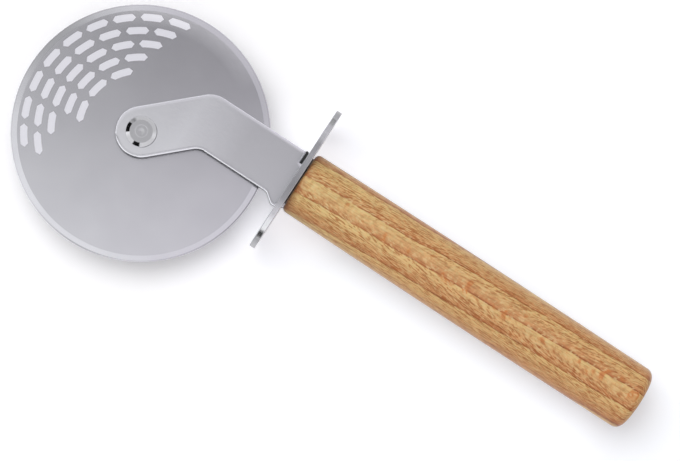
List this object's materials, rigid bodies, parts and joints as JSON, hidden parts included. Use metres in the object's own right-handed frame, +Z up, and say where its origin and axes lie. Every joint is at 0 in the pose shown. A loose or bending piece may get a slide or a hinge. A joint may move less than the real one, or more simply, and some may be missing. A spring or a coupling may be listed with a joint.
{
  "type": "pizza cutter wheel",
  "caption": "Round sharpened steel blade that spins on a rivet at the end of a cranked flat arm, with a crosswise finger guard and a straight turned wooden handle.",
  "frame": {"origin": "middle of the tool's outline seen from above, on the surface it lies on", "axes": "+X along the handle towards its butt, +Z up along the blade's spin axis towards the rivet's flat head, +Y across, away from the side the blade is set off to"},
  "size_m": [0.2672, 0.1, 0.027],
  "materials": {
    "blade_steel": "fine satin, ground edge bevel",
    "arm_steel": "bead-blasted satin with polished edges",
    "guard_steel": "polished edge",
    "rivet_steel": "turned matte disc, polished cone round it",
    "washer_steel": "plain",
    "nylon": "natural nylon",
    "resin": "dark cured resin",
    "beech": "oiled beech, grain along the handle"
  },
  "bodies": {
    "frame": {"arm_plate": "arm_steel", "guard_plate": "guard_steel", "handle": "beech", "tang_bond": "resin", "pivot_rivet": "rivet_steel", "front_washer": "washer_steel", "rear_washer": "washer_steel"},
    "wheel": {"cutting_wheel": "blade_steel", "wheel_bush": "nylon"}
  },
  "joints": [
    {"name": "wheel_spin", "type": "hinge", "parent": "frame", "child": "wheel", "pos_m": [-0.08363, 0, 0.0109], "axis": [0, 0, 1], "continuous": true}
  ]
}
